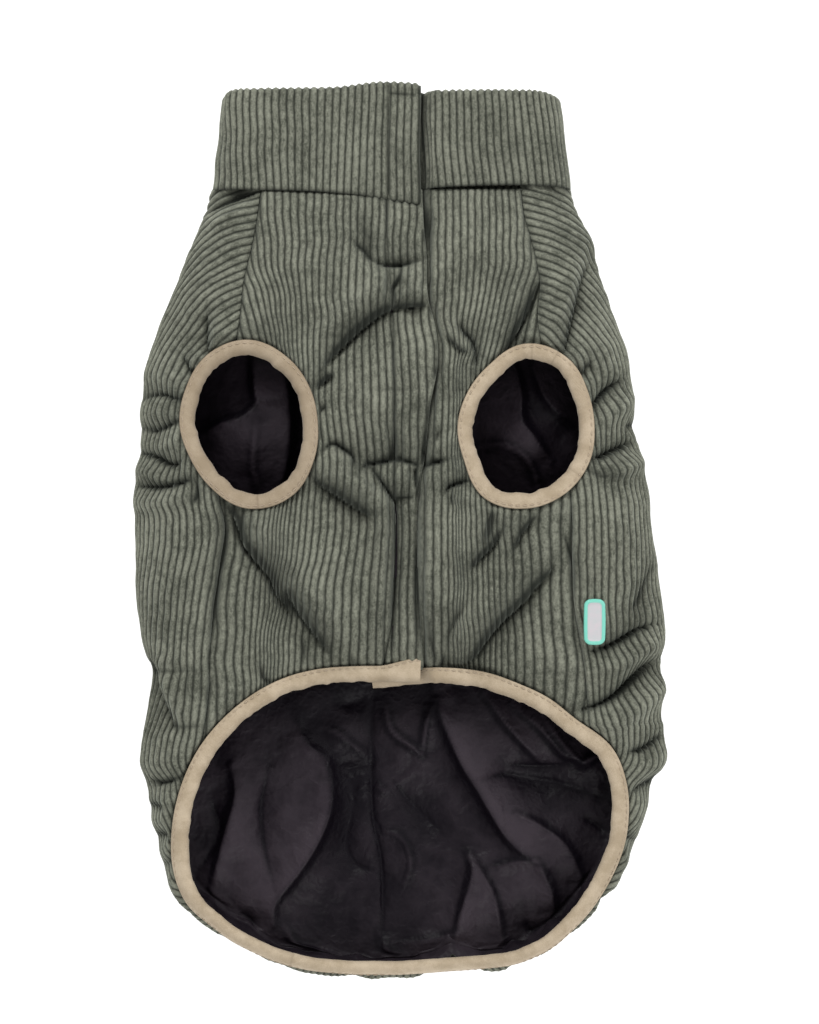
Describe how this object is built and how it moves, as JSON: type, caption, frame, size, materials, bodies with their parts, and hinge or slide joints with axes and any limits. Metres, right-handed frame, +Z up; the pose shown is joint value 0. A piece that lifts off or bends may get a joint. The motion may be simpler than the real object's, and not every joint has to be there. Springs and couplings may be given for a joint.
{
  "type": "dog winter coat",
  "caption": "Padded corduroy dog coat laid flat belly side up, with a stand collar, bound leg holes, a lapped front and a wide bound hem over a satin lining.",
  "frame": {"origin": "middle of the coat's bounding box, on the surface that it lies on", "axes": "+Y from the tail to the neck, +Z up from the surface towards the belly side, +X to the side of the under front"},
  "size_m": [0.2453, 0.4141, 0.0535],
  "materials": {
    "corduroy": "wide-wale cotton corduroy, grey green, matt with a soft nap",
    "lining_satin": "thin dark aubergine satin with a low sheen",
    "tape_cotton": "folded beige cotton tape, stitched along one edge",
    "tab_rubber": "soft moulded rubber, satin"
  },
  "bodies": {
    "root": {"back": "corduroy", "front_over": "corduroy", "front_under": "corduroy", "closing_band": "corduroy", "collar": "corduroy", "lining_left": "lining_satin", "lining_right": "lining_satin", "leg_tape_left": "tape_cotton", "leg_tape_right": "tape_cotton", "hem_tape": "tape_cotton", "tab": "tab_rubber"}
  },
  "joints": []
}
